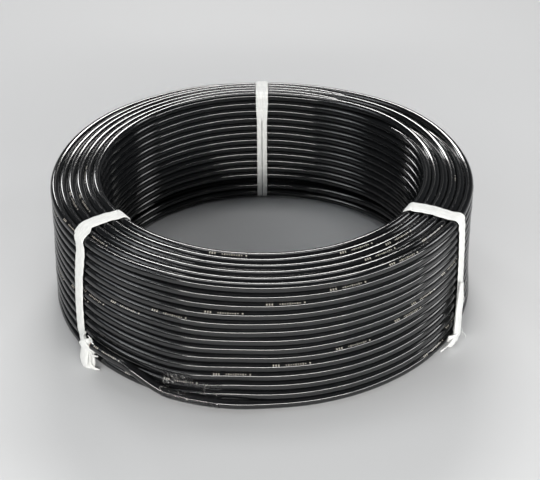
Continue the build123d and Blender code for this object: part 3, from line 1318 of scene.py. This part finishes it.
@dataclass
class Film:
    """Clear adhesive tape, wound round the free end and the lowest turns and crumpled."""

    winding: Winding
    material: Material
    start: float = -25.0
    stop: float = -10.0
    lowest_angle: float = -78.0
    highest_angle: float = 84.0
    columns: int = 84
    rows: int = 56
    lift: float = 0.35
    thickness: float = 0.15
    centre: Pair = (221.0, 11.0)
    lowest: float = 0.4
    smoothings: int = 6

    def reach(self, azimuth: float, angle: float, centre: Vector) -> float:
        """Distance from a centre to the outer side of the turns and the free end, in a radial plane."""
        sizes = self.winding.sizes
        end = sizes.end_point(azimuth)
        circles = [(math.hypot(end.x, end.y), end.z)]
        heights = self.winding.heights_at(azimuth)
        circles += [(self.winding.radius(sizes.layers - 1, z), z) for z in heights[-3:]]
        ray = Vector((math.cos(angle), math.sin(angle)))
        best = 0.0
        for radius, height in circles:
            apart = Vector((radius, height)) - centre
            nearest = apart.dot(ray)
            miss = apart.length_squared - nearest**2
            if miss < sizes.radius**2:
                best = max(best, nearest + math.sqrt(sizes.radius**2 - miss))
        return best

    def grid(self, extra: float) -> list[Vector]:
        """Points of one side of the film, row by row round the coil."""
        centre = Vector(self.centre)
        angles = np.radians(np.linspace(self.lowest_angle, self.highest_angle, self.rows))
        points = []
        for column in range(self.columns):
            azimuth = self.start + (self.stop - self.start) * column / (self.columns - 1)
            reaches = np.array([self.reach(azimuth, angle, centre) for angle in angles])
            for _ in range(self.smoothings):
                spread = np.convolve(np.pad(reaches, 1, mode="edge"), (0.25, 0.5, 0.25), "valid")
                reaches = np.maximum(reaches, spread)
            for angle, reach in zip(angles, reaches):
                place = Vector((azimuth * 0.55, angle * 3.4, 2.0))
                crease = 1 - abs(noise.noise(place)) * 3
                ripple = 0.35 * noise.noise(place * 2.7) + 0.45 * max(0.0, crease)
                out = reach + self.lift + ripple * 0.8 + extra
                height = max(self.lowest, centre.y + out * math.sin(angle))
                points.append(polar(azimuth, centre.x + out * math.cos(angle), height))
        return points

    def build(self) -> None:
        """Builds and dresses the film, which stands for its CAD node."""
        count = self.columns * self.rows
        points = self.grid(0.0) + self.grid(self.thickness)
        faces = []
        for column in range(self.columns - 1):
            for row in range(self.rows - 1):
                a = column * self.rows + row
                b = a + self.rows
                faces += [(a, a + 1, b + 1, b), (count + a, count + b, count + b + 1, count + a + 1)]
        border = list(range(self.rows))
        border += [column * self.rows + self.rows - 1 for column in range(1, self.columns)]
        border += [(self.columns - 1) * self.rows + row for row in range(self.rows - 2, -1, -1)]
        border += [column * self.rows for column in range(self.columns - 2, 0, -1)]
        for a, b in zip(border, border[1:] + border[:1]):
            faces.append((a, b, count + b, count + a))
        mesh = mesh_from("clear_film", points, faces)
        mesh.materials.append(self.material)
        piece = make_object("clear_film", mesh)
        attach(piece, BODY)
        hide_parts("end_wrap")
        LOG.info("%s: %d faces", piece.name, len(mesh.polygons))


# The studio


@dataclass
class Lamp:
    """A soft rectangular lamp."""

    name: str
    location: Place
    target: Place
    size: Pair
    power: float
    color: Color = (1.0, 1.0, 1.0)

    def build(self) -> None:
        """Adds the lamp, facing its target."""
        data = bpy.data.lights.new(self.name, "AREA")
        data.shape = "RECTANGLE"
        data.size, data.size_y = self.size
        data.energy = self.power
        data.color = self.color
        lamp = make_object(self.name, data)
        lamp.location = self.location
        facing = Vector(self.target) - Vector(self.location)
        lamp.rotation_euler = facing.to_track_quat("-Z", "Y").to_euler()


@dataclass
class Studio:
    """Camera at the photograph's angle, pale floor, grey surroundings that darken upwards, and soft lamps."""

    floor: Material
    camera_location: Place = (0.0, -0.9899, 0.6874)
    pitch_down: float = 32.915
    yaw: float = -0.475
    focal_length: float = 72.1
    sensor_width: float = 36.0
    nearest_seen: float = 0.01
    wall_color: Color = (0.2, 0.203, 0.207)
    ceiling_color: Color = (0.05, 0.052, 0.055)
    ceiling_from: Pair = (0.03, 0.35)
    floor_size: float = 7.0
    lamps: tuple[Lamp, ...] = (
        Lamp("rear_card", (0.0, 2.5, 2.1), (0, 0, 0.1), (1.2, 0.42), 52, (1.0, 0.98, 0.96)),
        Lamp("overhead", (0.0, 0.32, 1.75), (0, 0, 0.1), (1.3, 0.42), 7),
        Lamp("front_strip", (0.0, -1.8, 0.72), (0, 0, 0.08), (3.0, 0.16), 46, (1.0, 0.98, 0.95)),
        Lamp("front_right_strip", (1.55, -0.9, 0.5), (0, 0, 0.08), (1.5, 0.16), 13),
        Lamp("left_panel", (-1.35, -0.25, 1.25), (-0.1, 0, 0.08), (0.8, 0.8), 4, (0.93, 0.97, 1.0)),
        Lamp("front_left_strip", (-1.6, -0.95, 1.2), (0, 0, 0.08), (1.3, 0.07), 4),
        Lamp("right_card", (1.4, 0.3, 0.95), (0.1, 0, 0.08), (0.4, 0.4), 3),
        Lamp("left_rear_card", (-1.37, 2.04, 1.24), (-0.1, 0, 0.1), (0.3, 0.5), 6),
    )

    def build(self) -> None:
        """Builds the whole studio and sets the view transform."""
        self.build_camera()
        self.build_floor()
        self.build_world()
        for lamp in self.lamps:
            lamp.build()
        bpy.context.scene.view_settings.view_transform = "Standard"

    def build_camera(self) -> None:
        """Camera with the photograph's place, angle and lens."""
        data = bpy.data.cameras.new("camera")
        data.lens = self.focal_length
        data.sensor_width = self.sensor_width
        data.clip_start = self.nearest_seen
        camera = make_object("camera", data)
        camera.location = self.camera_location
        turn = Matrix.Rotation(math.radians(self.yaw), 4, "Z")
        tilt = Matrix.Rotation(math.radians(90 - self.pitch_down), 4, "X")
        camera.rotation_euler = (turn @ tilt).to_euler()
        bpy.context.scene.camera = camera

    def build_floor(self) -> None:
        """Large plain floor, which isn't part of the object."""
        half = self.floor_size / 2
        corners = [(-half, -half, 0), (half, -half, 0), (half, half, 0), (-half, half, 0)]
        mesh = bpy.data.meshes.new("floor")
        mesh.from_pydata(corners, [], [(0, 1, 2, 3)])
        mesh.materials.append(self.floor)
        make_object("floor", mesh)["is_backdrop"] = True

    def build_world(self) -> None:
        """Surroundings like a dim studio's: grey low down, dark above."""
        world = bpy.data.worlds.new("surroundings")
        world.use_nodes = True
        bpy.context.scene.world = world
        nodes = Nodes(world.node_tree)
        _, _, height = nodes.split(nodes.add("ShaderNodeTexCoord").outputs["Generated"])
        up = nodes.remap(height, *self.ceiling_from)
        color = nodes.mix(up, (*self.wall_color, 1), (*self.ceiling_color, 1))
        nodes.feed(world.node_tree.nodes["Background"].inputs["Color"], color)


def main() -> None:
    """Builds every piece round the frame, then the studio."""
    logging.basicConfig(level=logging.INFO, format="%(name)s: %(message)s")
    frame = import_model()
    cad_box = [corner.copy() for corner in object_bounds()]
    sizes = CoilSizes()
    specks = speck_group()
    jacket = JacketFinish("black_jacket", (0.005, 0.0054, 0.006), 0.11).make(specks)
    copper = CopperFinish("cut_copper", (0.72, 0.38, 0.24), 0.28).make(specks)
    cloth = ClothFinish("white_tape", (0.84, 0.85, 0.83), 0.85).make(specks)
    film = FilmFinish("clear_film", (0.03, 0.03, 0.032), 0.08).make(specks)
    floor = FloorFinish("pale_floor", (0.6, 0.608, 0.616), 0.6).make(specks)
    winding = Winding(sizes, jacket, copper)
    winding.build()
    left, right, back = sizes.tie_azimuths
    for tie in (
        LeftTie(winding, left, "tape_left", cloth, "tie_left"),
        RightTie(winding, right, "tape_right", cloth, "tie_right"),
        BackTie(winding, back, "tape_back", cloth, "tie_back"),
    ):
        tie.build()
    for slot in frame["nodes"]["copper_tip"].material_slots:
        slot.material = copper
    Film(winding, film).build()
    Studio(floor).build()


if __name__ == "__main__":
    main()
